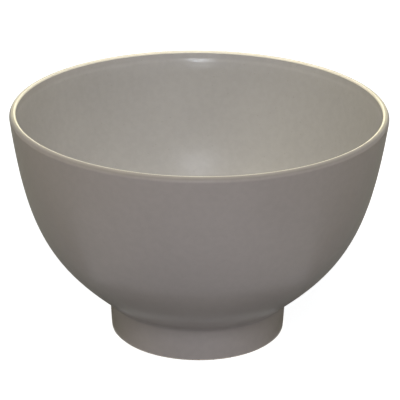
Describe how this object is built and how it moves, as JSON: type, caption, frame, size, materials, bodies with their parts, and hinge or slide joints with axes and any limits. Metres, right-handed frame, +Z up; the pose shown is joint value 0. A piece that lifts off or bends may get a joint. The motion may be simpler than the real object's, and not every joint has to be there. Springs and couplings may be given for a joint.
{
  "type": "tea bowl",
  "caption": "Deep round tea bowl with a smooth flaring wall, narrow rounded lip and straight foot ring, in matt taupe glaze.",
  "frame": {"origin": "on the bowl's axis, in the plane that the foot ring stands on", "axes": "+Z up along the bowl's axis, +X and +Y level; the bowl is round, so the turn about Z is free"},
  "size_m": [0.115, 0.115, 0.072],
  "materials": {
    "clay": "bare fired stoneware, matt",
    "slip": "fired slip, matt",
    "satin_glaze": "taupe satin-matt glaze",
    "thin_glaze": "satin glaze run thin over the lip's edges, cream"
  },
  "bodies": {
    "root": {"bowl_body": "clay", "foot_ring": "clay", "foot_slip": "slip", "outside_glaze": "satin_glaze", "lip_glaze": "thin_glaze", "inside_glaze": "satin_glaze", "foot_glaze": "satin_glaze", "base_glaze": "satin_glaze"}
  },
  "joints": []
}
